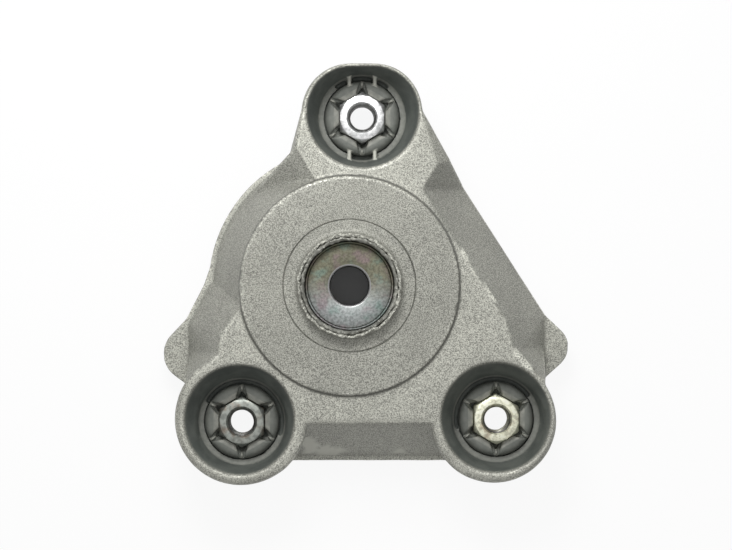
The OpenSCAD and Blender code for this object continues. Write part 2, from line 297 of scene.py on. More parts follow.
def blend(tree, factor, a, b, mode="MIX"):
    inputs = {0: factor, 6: a, 7: b}
    return add_node(tree, "ShaderNodeMix", inputs, data_type="RGBA", blend_type=mode).outputs[2]


def grey(level, warm=0.0):
    """Colour of a grey, a little warmer with a positive number."""
    return (level * (1 + warm), level, level * (1 - 2 * warm), 1)


def attribute(tree, name):
    return add_node(tree, "ShaderNodeAttribute", {}, attribute_name=name).outputs["Fac"]


def bump(tree, shader, height, strength, distance=FINE_BUMP):
    inputs = {"Height": height, "Strength": strength, "Distance": distance}
    tree.links.new(add_node(tree, "ShaderNodeBump", inputs).outputs["Normal"], shader.inputs["Normal"])


def feed(tree, shader, **values):
    """Link sockets or set plain values on a shader, with _ for a space in a name."""
    for key, value in values.items():
        socket = shader.inputs[key.replace("_", " ")]
        if isinstance(value, bpy.types.NodeSocket):
            tree.links.new(value, socket)
        else:
            socket.default_value = value


# Materials


def cast_grey(level):
    """Grey of the bare casting, a little short of blue."""
    return (level, level, level * 0.885, 1)


def cast_material():
    """Blasted aluminium: speckled, burnished on its edges, and smooth inside the nut pockets, where painted
    shade makes it dark and painted light makes the up-facing tops lighter; painted shade also darkens its
    slopes, its fine groove and the foot of its disc's edge.
    """
    material, tree, shader, coords = new_material("cast_aluminium")
    grain = noise(tree, coords, 3200, 1, 0.6)
    pits = noise(tree, coords, 600, 3, 0.6)
    tone = noise(tree, coords, 45, 4, 0.55)
    edge = attribute(tree, "edge")
    pocket = attribute(tree, "pocket")
    flat = attribute(tree, "flat")
    slope = attribute(tree, "slope")

    skin = blend(tree, span(tree, tone, 0.35, 0.65), cast_grey(0.372), cast_grey(0.415))
    speckle = blend(tree, span(tree, grain, 0.3, 0.7), grey(0.42), grey(1.62))
    skin = blend(tree, 1.0, skin, speckle, "MULTIPLY")
    # Painted shade: darker where the surface tilts away from up; on the flanks it also stands for their darker
    # as-cast skin. The disc is a little darker as its own tone.
    slope_shade_and_disc_tone = calc(tree, "MAXIMUM", slope, calc(tree, "MULTIPLY", attribute(tree, "disc"), 0.75))
    skin = blend(tree, slope_shade_and_disc_tone, skin, blend(tree, 1.0, skin, grey(0.74), "MULTIPLY"))
    skin = blend(tree, attribute(tree, "rubbed"), skin, cast_grey(0.43))
    chips = noise(tree, coords, 1500, 2, 0.6)
    flecks = calc(tree, "MULTIPLY", span(tree, chips, 0.48, 0.6), span(tree, tone, 0.4, 0.6, 0.3, 1.0))
    worn = calc(tree, "MULTIPLY", span(tree, edge, 0.03, 0.1), flecks)
    skin = blend(tree, worn, skin, cast_grey(0.68))
    scuffs = calc(tree, "MULTIPLY", attribute(tree, "scuffed"), span(tree, chips, 0.44, 0.54))
    skin = blend(tree, scuffs, skin, cast_grey(0.85))
    flakes = noise(tree, coords, 1500, 3, 0.65)
    torn_skin = blend(tree, span(tree, flakes, 0.4, 0.58), cast_grey(0.2), cast_grey(0.56))
    skin = blend(tree, attribute(tree, "torn"), skin, torn_skin)
    skin = blend(tree, span(tree, pits, 0.72, 0.78, 0, 0.5), skin, cast_grey(0.12))
    # Painted shade: a dark line in the fine groove and along the foot of the disc's edge.
    skin = blend(tree, attribute(tree, "line"), skin, cast_grey(0.07))
    stains = noise(tree, coords, 110, 3, 0.6)
    # Painted shade: inside the nut pockets the casting is tinted far darker, mottled at random.
    shaded_pocket = blend(tree, span(tree, stains, 0.3, 0.7), (0.078, 0.088, 0.08, 1), (0.125, 0.136, 0.122, 1))
    # Painted light: the up-facing collar flats and floor ledges, and the ridge and bar tops below, are tinted
    # lighter than the shaded walls.
    flat_light = calc(tree, "MULTIPLY", flat, span(tree, pits, 0.3, 0.7, 0.6, 1.0))
    shaded_pocket = blend(tree, flat_light, shaded_pocket, cast_grey(0.3))
    shaded_pocket = blend(tree, attribute(tree, "raised"), shaded_pocket, cast_grey(0.5))
    colour = blend(tree, pocket, skin, shaded_pocket)
    colour = blend(tree, attribute(tree, "machined"), colour, grey(0.62))

    rough = span(tree, grain, 0.3, 0.7, 0.5, 0.66)
    rough = calc(tree, "SUBTRACT", rough, calc(tree, "MULTIPLY", worn, 0.2))
    rough = calc(tree, "ADD", rough, calc(tree, "MULTIPLY", pocket, 0.08))
    height = calc(tree, "ADD", calc(tree, "MULTIPLY", grain, 0.6), calc(tree, "MULTIPLY", pits, 0.4))
    height = calc(tree, "MULTIPLY", height, span(tree, pocket, 0, 1, 1.0, 0.2))
    bump(tree, shader, height, 0.4)
    metal = span(tree, pocket, 0, 1, 0.35, 0.05)
    feed(tree, shader, Base_Color=colour, Roughness=rough, Metallic=metal)
    return material


def nut_material(name, tint, stain, stain_share):
    """Zinc plate with a tint of its own and stained patches, and painted shade on its bevelled corners, its
    sides and its bore.
    """
    material, tree, shader, coords = new_material(name)
    patch = noise(tree, coords, 170, 4, 0.6)
    cloud = noise(tree, coords, 520, 3, 0.6)
    speck = noise(tree, coords, 900, 3, 0.6)
    colour = blend(tree, span(tree, patch, 0.56 - stain_share, 0.7 - stain_share), tint, stain)
    clouding = blend(tree, span(tree, cloud, 0.36, 0.6), grey(0.68), grey(1.08))
    colour = blend(tree, 1.0, colour, clouding, "MULTIPLY")
    colour = blend(tree, span(tree, speck, 0.68, 0.76), colour, grey(0.2))
    # Painted shade: the hex's sides and bevelled corners are darkened.
    corner = blend(tree, 1.0, colour, grey(0.9), "MULTIPLY")
    colour = blend(tree, attribute(tree, "corner"), colour, corner)
    # Painted shade: the threaded bore is tinted dark, most at the thread's roots.
    colour = blend(tree, attribute(tree, "bore"), colour, grey(0.15, 0.02))
    rough = span(tree, speck, 0.3, 0.7, 0.36, 0.52)
    waviness = calc(tree, "ADD", patch, calc(tree, "MULTIPLY", cloud, 0.4))
    bump(tree, shader, waviness, 0.35, 1.5 * FINE_BUMP)
    feed(tree, shader, Base_Color=colour, Roughness=rough, Metallic=1.0)
    return material


def washer_material():
    """Passivated zinc: olive and pinkish toward the top, blue-grey toward the bottom, finely mottled, with a
    painted highlight on the bevel round the rod's hole.
    """
    material, tree, shader, coords = new_material("passivated_steel")
    place = add_node(tree, "ShaderNodeSeparateXYZ", {0: coords}).outputs
    patch = noise(tree, coords, 160, 3, 0.6)
    mottle = noise(tree, coords, 1100, 3, 0.65)
    waver = calc(tree, "MULTIPLY", calc(tree, "SUBTRACT", patch, 0.5), 0.012)
    along = calc(tree, "ADD", place["Y"], waver)
    colour = blend(tree, span(tree, along, -0.009, 0.005), (0.33, 0.35, 0.345, 1), (0.205, 0.20, 0.145, 1))
    colour = blend(tree, span(tree, patch, 0.5, 0.7, 0, 0.5), colour, (0.30, 0.205, 0.24, 1))
    colour = blend(tree, span(tree, patch, 0.48, 0.3, 0, 0.5), colour, (0.165, 0.265, 0.225, 1))
    mottling = blend(tree, span(tree, mottle, 0.35, 0.65), grey(0.75), grey(1.25))
    colour = blend(tree, 1.0, colour, mottling, "MULTIPLY")
    bare = attribute(tree, "bare")
    # Painted highlight: the bevel round the rod's hole is tinted light.
    colour = blend(tree, bare, colour, grey(0.7))
    rough = span(tree, mottle, 0.3, 0.7, 0.42, 0.6)
    rough = calc(tree, "SUBTRACT", rough, calc(tree, "MULTIPLY", bare, 0.1))
    bump(tree, shader, mottle, 0.2)
    feed(tree, shader, Base_Color=colour, Roughness=rough, Metallic=0.9)
    return material


def steel_material(name, dark, light, ring_scale, metallic):
    """Drawn or turned steel, with faint rings from tooling."""
    material, tree, shader, coords = new_material(name)
    stretched = add_node(tree, "ShaderNodeMapping", {"Vector": coords, "Scale": (40, 40, ring_scale)})
    lines = noise(tree, stretched.outputs["Vector"], 1.0, 3, 0.6)
    speck = noise(tree, coords, 700, 3, 0.6)
    mark = calc(tree, "ADD", calc(tree, "MULTIPLY", lines, 0.6), calc(tree, "MULTIPLY", speck, 0.4))
    colour = blend(tree, span(tree, mark, 0.35, 0.65), dark, light)
    bump(tree, shader, mark, 0.3)
    rough = span(tree, mark, 0.3, 0.7, 0.34, 0.56)
    feed(tree, shader, Base_Color=colour, Roughness=rough, Metallic=metallic)
    return material


def rubber_material():
    """Black rubber with a little dust."""
    material, tree, shader, coords = new_material("rubber")
    dust = noise(tree, coords, 90, 4, 0.6)
    grain = noise(tree, coords, 1300, 2, 0.6)
    colour = blend(tree, span(tree, dust, 0.4, 0.7), grey(0.018), grey(0.04, 0.02))
    bump(tree, shader, grain, 0.25)
    feed(tree, shader, Base_Color=colour, Roughness=span(tree, dust, 0.3, 0.7, 0.6, 0.8))
    return material


# Casting


def collar_fields(radius, angle):
    """Height of a staked collar over its bolt, and the shares of a place on its flats and on its ridges."""
    from_notch = np.mod(angle, math.pi / 3) - math.pi / 6
    from_flat = np.mod(angle + math.pi / 6, math.pi / 3) - math.pi / 6
    out = radius * np.cos(from_notch)
    aside = np.abs(radius * np.sin(from_notch))
    off_nut = radius * np.cos(from_flat)

    dome_r = 2.4
    over_dome = np.clip(radius - (COLLAR_R - dome_r), 0, dome_r)
    dome = COLLAR_TOP - dome_r + np.sqrt(dome_r ** 2 - over_dome ** 2)
    flat_end = 10.2
    petal = np.minimum(dome, COLLAR_TOP + 0.3 * (off_nut - flat_end))
    petal = petal - 1.6 * smooth_step(8.45, 8.1, off_nut)

    half_gap = np.interp(out, [9.3, 13.3], [2.0, 0.75])
    on_petal = smooth_step(half_gap - 0.25, half_gap + 0.15, aside)
    petal = petal - 0.3 * smooth_step(half_gap + 0.9, half_gap, aside)
    gap = np.interp(out, [9.3, 11.4], [9.0, 10.5])
    half_hole = np.interp(out, [9.2, 11.4], [1.3, -0.1])
    gap = gap - 4.0 * smooth_step(half_hole + 0.1, half_hole - 0.15, aside)
    half_ridge = np.interp(out, [10.8, 13.4], [0.16, 0.5])
    on_ridge = smooth_step(half_ridge + 0.15, half_ridge - 0.1, aside) * smooth_step(10.6, 11.0, out)
    gap = gap + on_ridge * (np.minimum(dome, COLLAR_TOP - 0.25) - gap)
    height = on_petal * petal + (1 - on_petal) * gap
    flat = on_petal * smooth_step(flat_end + 0.15, flat_end - 0.15, off_nut)
    return height, flat, on_ridge * (1 - on_petal)


def collar_mesh(side):
    """Staked collar round a nut: six petals with notches and thin ridges between them."""
    count, rows = 300, 26
    angle = angles(count)
    inner = hex_radius(angle, NUT_AF / 2 + 0.06)
    share = np.linspace(0, 1, rows)[:, None]
    radius = inner + share * (COLLAR_R - inner)
    height = collar_fields(radius, angle)[0]
    base = NUT_LOW + 1
    radius = np.vstack([radius, radius[-1:], inner[None]])
    height = np.vstack([height, np.full((2, count), base)])
    return ring_mesh(side + "_collar", polar_rings(radius, height, BOLTS[side]))


def lip_mesh():
    """Casting's neck lip, staked over and torn along its edge."""
    foot = [(20.3, DISC_TOP - 0.25), (19.3, DISC_TOP + 0.15), (18.75, DISC_TOP + 0.7), (18.45, DISC_TOP + 1.5)]
    rim = [(18.4, NECK_TOP - 1.2), (18.35, NECK_TOP - 0.6), (18.0, NECK_TOP - 0.25), (17.6, NECK_TOP - 0.3),
           (17.3, NECK_TOP - 0.7)]
    root = [(17.26, DISC_TOP - 1), (20.0, DISC_TOP - 1)]
    rings = turned_rings(fine_profile(foot + rim + root, 0.35), 480)
    return ring_mesh("neck_lip", torn(rings, LIP_SEED))


def torn(rings, seed):
    """Rings with the stretch near the neck's end roughened."""
    points = rings.reshape(-1, 3)
    share = smooth_step(NECK_TOP - 3.0, NECK_TOP - 1.0, points[:, 2])[:, None]
    rough = shaken(shaken(points, 3.5, 0.6, seed), 1.3, 0.7, seed + 10)
    points = points + share * (shaken(rough, 0.5, 0.35, seed + 20) - points)
    points[:, 2] = np.minimum(points[:, 2], NECK_TOP - 0.03)
    return points.reshape(rings.shape)


def cylinder_cutter(name, centre, radius, low, high):
    mesh = bpy.data.meshes.new(name)
    work = bmesh.new()
    bmesh.ops.create_cone(work, cap_ends=True, segments=128, radius1=radius * MM, radius2=radius * MM,
                          depth=(high - low) * MM)
    bmesh.ops.translate(work, verts=work.verts, vec=Vector((*centre, (low + high) / 2)) * MM)
    work.to_mesh(mesh)
    work.free()
    return new_object(name, mesh)


def groove_cutter():
    """Ring with a pointed edge that cuts the fine groove of the hub's disc."""
    half, depth = 0.32, 0.45
    inner_r, outer_r = GROOVE_R - half, GROOVE_R + half
    clear, shoulder = DISC_TOP + 1, DISC_TOP - 0.1
    profile = [(inner_r, clear), (outer_r, clear), (outer_r, shoulder), (GROOVE_R, DISC_TOP - depth),
               (inner_r, shoulder)]
    return new_object("groove_cutter", ring_mesh("groove_cutter", turned_rings(profile, 360)))


def bar_mesh(name, x, y):
    """Short bar with a rounded top across a recess of the top pocket's floor."""
    half_w, half_l, top, base = BAR_HALF_W, 2.1, BAR_TOP, FLOOR_Z - 3
    bevel_w, bevel_h = 0.35, 0.4
    section = [(-half_w, base), (-half_w, top - bevel_h), (-half_w + bevel_w, top), (half_w - bevel_w, top),
               (half_w, top - bevel_h), (half_w, base)]
    points = [(x + across, y + along, height) for along in (-half_l, half_l) for across, height in section]
    count = len(section)
    sides = [(i, (i + 1) % count, count + (i + 1) % count, count + i) for i in range(count)]
    caps = [tuple(range(count)), tuple(range(2 * count - 1, count - 1, -1))]
    return closed_mesh(name, points, sides + caps)


def floor_bars():
    """Four bars of the top pocket, two on either side of its nut."""
    places = itertools.product((-BAR_X, BAR_X), (-1, 1))
    middle = math.sqrt((COLLAR_R + 1.2) ** 2 - BAR_X ** 2)
    return [new_object("bar", bar_mesh("bar", BOLTS["top"][0] + x, BOLTS["top"][1] + way * middle))
            for x, way in places]


def combine(obj, others, operation):
    """Cut other objects from one, or join them to it, and delete them."""
    for other in others:
        modifier = obj.modifiers.new(other.name, "BOOLEAN")
        modifier.operation = operation
        modifier.solver = "MANIFOLD"
        modifier.object = other
    bake(obj)
    for other in others:
        bpy.data.objects.remove(other)


def bake(obj):
    """Apply an object's modifiers to its own mesh."""
    graph = bpy.context.evaluated_depsgraph_get()
    mesh = bpy.data.meshes.new_from_object(obj.evaluated_get(graph))
    obj.modifiers.clear()
    obj.data = mesh


def mesh_points(mesh):
    points = np.empty(len(mesh.vertices) * 3, np.float32)
    mesh.vertices.foreach_get("co", points)
    return points.reshape(-1, 3).astype(float) / MM


def mesh_normals(mesh):
    normals = np.empty(len(mesh.vertices) * 3, np.float32)
    mesh.vertex_normals.foreach_get("vector", normals)
    return normals.reshape(-1, 3).astype(float)


def set_points(mesh, points):
    mesh.vertices.foreach_set("co", (points * MM).astype(np.float32).ravel())
    mesh.update()


def store(mesh, name, values):
    """Keep a number for each point of a mesh under a name that its material reads."""
    mesh.attributes.new(name, "FLOAT", "POINT").data.foreach_set("value", values.astype(np.float32).ravel())


def relaxed(points, edges, passes):
    """Points moved halfway to the mean of their neighbours, a number of times."""
    count = np.bincount(edges.ravel(), minlength=len(points))
    for _ in range(passes):
        moved = np.empty_like(points)
        for axis in range(3):
            line = points[:, axis]
            total = np.bincount(edges[:, 0], line[edges[:, 1]], len(points))
            total += np.bincount(edges[:, 1], line[edges[:, 0]], len(points))
            moved[:, axis] = (line + total / count) / 2
        points = moved
    return points


def mouth_reach(points, side):
    """Distance from points to the edge of a pocket's mouth, positive inside it."""
    place = points[:, :2] - (BOLTS[side] + MOUTH_SHIFT[side])
    reach = MOUTH_EDGE_R - np.hypot(place[:, 0], place[:, 1])
    if side != "top":
        return reach
    beyond = np.maximum(np.abs(place[:, 0]) - TOP_MOUTH_SPREAD, 0)
    far_reach = TOP_MOUTH_END_R - np.hypot(beyond, place[:, 1])
    return np.where(place[:, 1] > 0, far_reach, reach)


def eased(points, edges, share, passes):
    """Points relaxed a number of times, by a share of its own for each."""
    return points + share[:, None] * (relaxed(points, edges, passes) - points)


def soften(obj):
    """Round and nick the cast edges and make the skin uneven; returns points and how edge-like each is."""
    all_over, at_mouths, at_rims, at_low_edge, to_find_edges = 3, 8, 40, 25, 10
    mesh = obj.data
    edges = np.empty(len(mesh.edges) * 2, np.int32)
    mesh.edges.foreach_get("vertices", edges)
    edges = edges.reshape(-1, 2)
    points = relaxed(mesh_points(mesh), edges, all_over)

    off_mouth = {side: np.abs(mouth_reach(points, side) - 0.5) for side in BOLTS}
    near_mouth = np.max([smooth_step(2.6, 1.2, off) for off in off_mouth.values()], axis=0)
    near_mouth *= smooth_step(DECK_TOP - 5, DECK_TOP - 3, points[:, 2])
    points = eased(points, edges, near_mouth, at_mouths)

    outward = np.zeros(len(points))
    for side, bolt in BOLTS.items():
        out = (points[:, :2] - bolt) @ (bolt / np.hypot(*bolt))
        on_rim = smooth_step(2, 9, out) * smooth_step(0.2, -1.2, mouth_reach(points, side))
        outward = np.maximum(outward, on_rim)
    outward *= smooth_step(DECK_TOP - 7, DECK_TOP - 4, points[:, 2])
    points = eased(points, edges, outward, at_rims)

    from_low_edge = np.hypot(points[:, 1] - LOW_EDGE_Y, points[:, 2] - DECK_TOP)
    near_low_edge = smooth_step(3.2, 1.8, from_low_edge)
    near_low_edge *= smooth_step(24, 20, np.abs(points[:, 0] - LOW_EDGE_X))
    points = eased(points, edges, near_low_edge, at_low_edge)

    set_points(mesh, points)
    normals = mesh_normals(mesh)
    edge = np.sum(normals * (points - relaxed(points, edges, to_find_edges)), axis=1)
    nick = smooth_step(0.05, 0.15, edge) * smooth_step(0.55, 0.85, lattice_noise(points, 1.8, NICK_SEED))
    uneven = 0.12 * lattice_noise(points, 9.0, WAVE_SEED) + 0.05 * lattice_noise(points, 2.5, RIPPLE_SEED)
    points = points - normals * (uneven + 0.25 * nick)[:, None]
    set_points(mesh, points)
    return points, edge


def pocket_share(points):
    """1 inside the nut pockets and 0 elsewhere, with a short change at their mouths."""
    share = np.max([smooth_step(-0.1, 0.5, mouth_reach(points, side)) for side in BOLTS], axis=0)
    under_deck = smooth_step(DECK_TOP - 0.4, DECK_TOP - 2.0, points[:, 2])
    return share * under_deck * smooth_step(1.0, 2.0, points[:, 2])


def line_distance(places, line):
    """Distance from places in plan to a line through some points."""
    reach = np.full(len(places), np.inf)
    for start, end in zip(line, line[1:]):
        along = end - start
        part = np.clip((places - start) @ along / (along @ along), 0, 1)
        off = places - start - part[:, None] * along
        reach = np.minimum(reach, np.hypot(off[:, 0], off[:, 1]))
    return reach


def rubbed_share(points):
    """1 on the smooth rubbed patches of the lower flank."""
    share = np.zeros(len(points))
    for centre, size in RUBBED_PLACES:
        place = (points[:, :2] - centre) / size
        reach = np.hypot(place[:, 0], place[:, 1]) + 0.9 * (lattice_noise(points, 2.2, RUB_SEED) - 0.5)
        share = np.maximum(share, smooth_step(1.0, 0.9, reach))
    return share * (points[:, 2] > 4.5)


def collar_marks(points, edge):
    """Shares of the up-facing flats and ledges and of the raised ridges and bar tops in the pockets, which the
    material paints lighter as painted light; takes the collars out of the worn edges.
    """
    flat = np.zeros(len(points))
    raised = np.zeros(len(points))
    for bolt in BOLTS.values():
        place = points[:, :2] - bolt
        radius = np.hypot(place[:, 0], place[:, 1])
        height, on_flat, on_ridge = collar_fields(radius, np.arctan2(place[:, 1], place[:, 0]))
        on_collar = (radius < COLLAR_R + 0.1) & (points[:, 2] > NUT_LOW + 2)
        on_top = np.abs(points[:, 2] - height) < 0.6
        edge[on_collar] = 0
        flat[on_collar] = np.maximum(on_flat, 0.35)[on_collar] * on_top[on_collar]
        raised[on_collar] = (0.6 * on_ridge * on_top)[on_collar]
        on_ledge = (radius > COLLAR_R + COLLAR_GAP - 0.1) & (radius < FLOOR_R + 0.3)
        flat[on_ledge] = 0.6 * smooth_step(FLOOR_Z - 0.7, FLOOR_Z - 0.3, points[on_ledge, 2])
        flat[on_ledge] *= smooth_step(FLOOR_Z + 1.3, FLOOR_Z + 0.9, points[on_ledge, 2])
    across, along = np.abs(points[:, :2] - BOLTS["top"]).T
    on_bar = np.abs(across - BAR_X) < BAR_HALF_W + 0.1
    on_bar &= (along > COLLAR_R - 2.5) & (along < FLOOR_R + 0.8)
    on_bar &= points[:, 2] < BAR_TOP + 0.1
    raised = np.where(on_bar, smooth_step(BAR_TOP - 0.8, BAR_TOP - 0.3, points[:, 2]), raised)
    return flat, raised


def machined_share(points):
    """1 on the machined pads round the bolts on the body side."""
    machined = np.zeros(len(points))
    for bolt in BOLTS.values():
        from_bolt = np.hypot(*(points[:, :2] - bolt).T)
        machined = np.maximum(machined, (from_bolt < PAD_R + 0.3) * smooth_step(0.3, 0.15, points[:, 2]))
    return machined * smooth_step(-0.5, -0.3, points[:, 2])


def mark_casting(mesh, dense_points, dense_edge):
    """Store, for the material, where the casting is worn, inside a pocket, on the up-facing flats that get
    painted light, or machined, and where painted shade darkens its slopes, its groove and the foot of its
    disc's edge.
    """
    points = mesh_points(mesh)
    height = points[:, 2]
    tree = KDTree(len(dense_points))
    for i, point in enumerate(dense_points):
        tree.insert(point, i)
    tree.balance()
    nearest = [tree.find(point)[1] for point in points]
    edge = dense_edge[nearest]
    flat, raised = collar_marks(points, edge)

    from_axis = np.hypot(points[:, 0], points[:, 1])
    on_lip = (from_axis < LIP_R + 1.5) & (height > DISC_TOP + 1)
    edge[on_lip] = 0
    torn_edge = on_lip * smooth_step(NECK_TOP - 1.6, NECK_TOP - 0.8, height)
    on_hub = height > DECK_TOP - 0.4
    in_groove = (np.abs(from_axis - GROOVE_R) < 0.45) & (height < DISC_TOP - 0.2) & on_hub
    under_disc = (np.abs(from_axis - DISC_R) < 0.6) & (height < DISC_TOP - 0.6) & on_hub
    # Painted shade goes in the fine groove and along the foot of the disc's edge.
    line = np.maximum(0.65 * in_groove, 0.6 * under_disc)
    scuffed = smooth_step(1.5, 0.5, line_distance(points[:, :2], SCUFFED_EDGE)) * (height > DECK_TOP - 1.5)
    scuffed *= smooth_step(0.35, 0.6, lattice_noise(points, 4.0, SCUFF_SEED))
    disc = (from_axis < DISC_R) * smooth_step(DISC_TOP - 0.6, DISC_TOP - 0.3, height)
    # Where painted shade darkens surfaces that tilt away from up.
    slope = smooth_step(0.98, 0.72, mesh_normals(mesh)[:, 2])

    marks = {"edge": edge, "pocket": pocket_share(points), "flat": flat, "raised": raised,
             "machined": machined_share(points), "slope": slope, "rubbed": rubbed_share(points),
             "disc": disc, "torn": torn_edge, "line": line, "scuffed": scuffed}
    for name, values in marks.items():
        store(mesh, name, values)


def mend(mesh):
    """Close the few faults that thinning leaves: faces round them go, and the holes are filled."""
    work = bmesh.new()
    work.from_mesh(mesh)
    for _ in range(4):
        faulty = {vert for edge in work.edges if not edge.is_manifold for vert in edge.verts}
        if not faulty:
            break
        faces = {face for vert in faulty for face in vert.link_faces}
        bmesh.ops.delete(work, geom=list(faces), context="FACES")
        loose = [vert for vert in work.verts if not vert.link_faces]
        bmesh.ops.delete(work, geom=loose, context="VERTS")
        rims = [edge for edge in work.edges if edge.is_boundary]
        filled = bmesh.ops.holes_fill(work, edges=rims)["faces"]
        bmesh.ops.triangulate(work, faces=filled)
    bmesh.ops.recalc_face_normals(work, faces=work.faces)
    work.to_mesh(mesh)
    work.free()


def make_housing():
    """Casting with soft edges, crisp staked collars, a torn neck lip and the fine ring on its disc."""
    voxel = 0.5
    kept_triangles = 185000
    skin = new_object("cast_housing", nodes["housing"].data.copy())
    remesh = skin.modifiers.new("remesh", "REMESH")
    remesh.mode = "VOXEL"
    remesh.voxel_size = voxel * MM
    cutters = [cylinder_cutter(side + "_cutter", bolt, COLLAR_R + COLLAR_GAP, NUT_LOW + 3, DECK_TOP)
               for side, bolt in BOLTS.items()]
    cutters.append(cylinder_cutter("neck_cutter", (0, 0), LIP_R + 1.7, DISC_TOP + 0.05, NECK_TOP + 1))
    combine(skin, cutters, "DIFFERENCE")
    dense_points, dense_edge = soften(skin)
    additions = [new_object(side + "_collar", collar_mesh(side)) for side in BOLTS]
    additions.append(new_object("neck_lip", lip_mesh()))
    additions += floor_bars()
    combine(skin, additions, "UNION")
    combine(skin, [groove_cutter()], "DIFFERENCE")
    decimate = skin.modifiers.new("decimate", "DECIMATE")
    decimate.ratio = kept_triangles / sum(len(face.vertices) - 2 for face in skin.data.polygons)
    decimate.use_collapse_triangulate = True
    bake(skin)
    mend(skin.data)
    shade(skin.data, 40)
    mark_casting(skin.data, dense_points, dense_edge)
    dress(skin, HOUSING, "housing", cast_material())


# Nuts, bush and washer


def make_nut(side, material):
    """Hex nut with bevelled corners and a cut thread."""
    count, rows = 144, 60
    tall = NUT_HIGH - NUT_LOW
    pitch, thread_depth, sink_r = 1.5, 0.75, 5.6
    angle = angles(count)
    hexagon = hex_radius(angle, NUT_AF / 2)
    flat = np.ones(count)
    bevel = (hexagon - NUT_AF / 2) * math.tan(math.radians(30))
    bore_z = np.linspace(tall, 0, rows)[:, None]
    phase = np.mod(bore_z / pitch - angle / FULL_TURN, 1)
    thread = THREAD_R + thread_depth * np.clip(1.45 * np.abs(2 * phase - 1) - 0.25, 0, 1)
    sink = sink_r - np.minimum(bore_z, tall - bore_z)
    bore_r = np.maximum(thread, sink)
    outer = [(hexagon - 0.3, 0 * flat), (hexagon, 0.3 * flat), (hexagon, tall - bevel - 0.25),
             (hexagon - 0.12, tall - bevel - 0.06), (NUT_AF / 2 - 0.15 * flat, (tall - 0.08) * flat),
             (NUT_AF / 2 - 0.3 * flat, tall * flat)]
    radius = np.vstack([ring[0] for ring in outer] + [bore_r])
    height = np.vstack([ring[1] for ring in outer] + [bore_z * flat])
    mesh = ring_mesh(side + "_nut", polar_rings(radius, height + NUT_LOW, BOLTS[side]))
    # Where painted shade darkens the bore, less on the thread's crests.
    bore = np.zeros(radius.shape)
    crest = smooth_step(0.5, 0.1, (thread - THREAD_R) / thread_depth)
    bore[len(outer):] = (1 - 0.45 * crest) * (bore_z < tall - 0.6)
    # Where painted shade darkens the hex's sides and bevelled corners.
    corner = np.zeros(radius.shape)
    corner[:len(outer) - 1] = 1
    store(mesh, "bore", bore)
    store(mesh, "corner", corner)
    shade(mesh, 35)
    dress(new_object(side + "_nut", mesh), HOUSING, "captive_nuts", material)


def make_can():
    """Drawn can: a wide skirt pressed into the hub and a neck with a torn rim."""
    inner_neck = CAN_NECK_R - CAN_T
    shoulder = DISC_TOP - 6
    inner_r = CAN_R - CAN_T
    under = shoulder - CAN_T
    skirt = [(inner_neck + 0.5, under), (inner_r - 1, under), (inner_r, under - 1), (inner_r, CAN_END + 0.2),
             (inner_r + 0.2, CAN_END), (CAN_R - 0.2, CAN_END), (CAN_R, CAN_END + 0.2),
             (CAN_R, shoulder - 0.6), (CAN_R - 0.6, shoulder)]
    neck = [(CAN_NECK_R, shoulder), (CAN_NECK_R, NECK_TOP - 0.9), (CAN_NECK_R - 0.2, NECK_TOP - 0.5),
            (CAN_NECK_R - 0.6, NECK_TOP - 0.35), (inner_neck + 0.2, NECK_TOP - 0.6),
            (inner_neck, NECK_TOP - 1.0), (inner_neck, under + 0.5)]
    rings = torn(turned_rings(fine_profile(skirt + neck, 0.5), 420), CAN_SEED)
    mesh = ring_mesh("drawn_can", rings)
    shade(mesh, 45)
    material = steel_material("drawn_steel", cast_grey(0.17), cast_grey(0.34), 900, 0.3)
    dress(new_object("drawn_can", mesh), HOUSING, "bush_can", material)


def make_rubber():
    """Moulded rubber between the sleeve and the can, which shears as the sleeve floats."""
    fit = 0.02
    inner, outer = SLEEVE_R + fit, CAN_R - CAN_T - fit
    collar_r = SLEEVE_COLLAR_R + fit
    collar_low, collar_high = SLEEVE_COLLAR_LOW - fit, SLEEVE_COLLAR_HIGH + fit
    groove_r, groove_round = 19.8, 5.0
    arc = [(groove_r + groove_round * math.cos(a), RUBBER_LOW + groove_round * math.sin(a))
           for a in np.linspace(0, math.pi, 13)]
    profile = [(outer, RUBBER_LOW), (outer, RUBBER_HIGH), (14.0, RUBBER_HIGH), (inner, RUBBER_HIGH - 3),
               (inner, collar_high), (collar_r, collar_high), (collar_r, collar_low), (inner, collar_low),
               (inner, RUBBER_LOW)] + arc[::-1]
    mesh = ring_mesh("rubber_bush_soft", turned_rings(fine_profile(profile, 1.5), 128))
    shade(mesh, 40)
    rubber = new_object("rubber_bush_soft", mesh)
    rubber.data.materials.append(rubber_material())
    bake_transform(rubber, HOUSING, ROD_SEAT, start=(outer * MM, 0, 0), end=(inner * MM, 0, 0))
    points = mesh_points(mesh)
    radius = np.hypot(points[:, 0], points[:, 1])
    at_collar = (points[:, 2] > collar_low - 1) & (points[:, 2] < collar_high + 1)
    bonded = np.where(at_collar, SLEEVE_COLLAR_R, SLEEVE_R)
    share = smooth_step(outer, bonded + 0.1, radius)
    mesh.attributes["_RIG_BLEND"].data.foreach_set("value", share.astype(np.float32))
    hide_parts("rubber_bush")


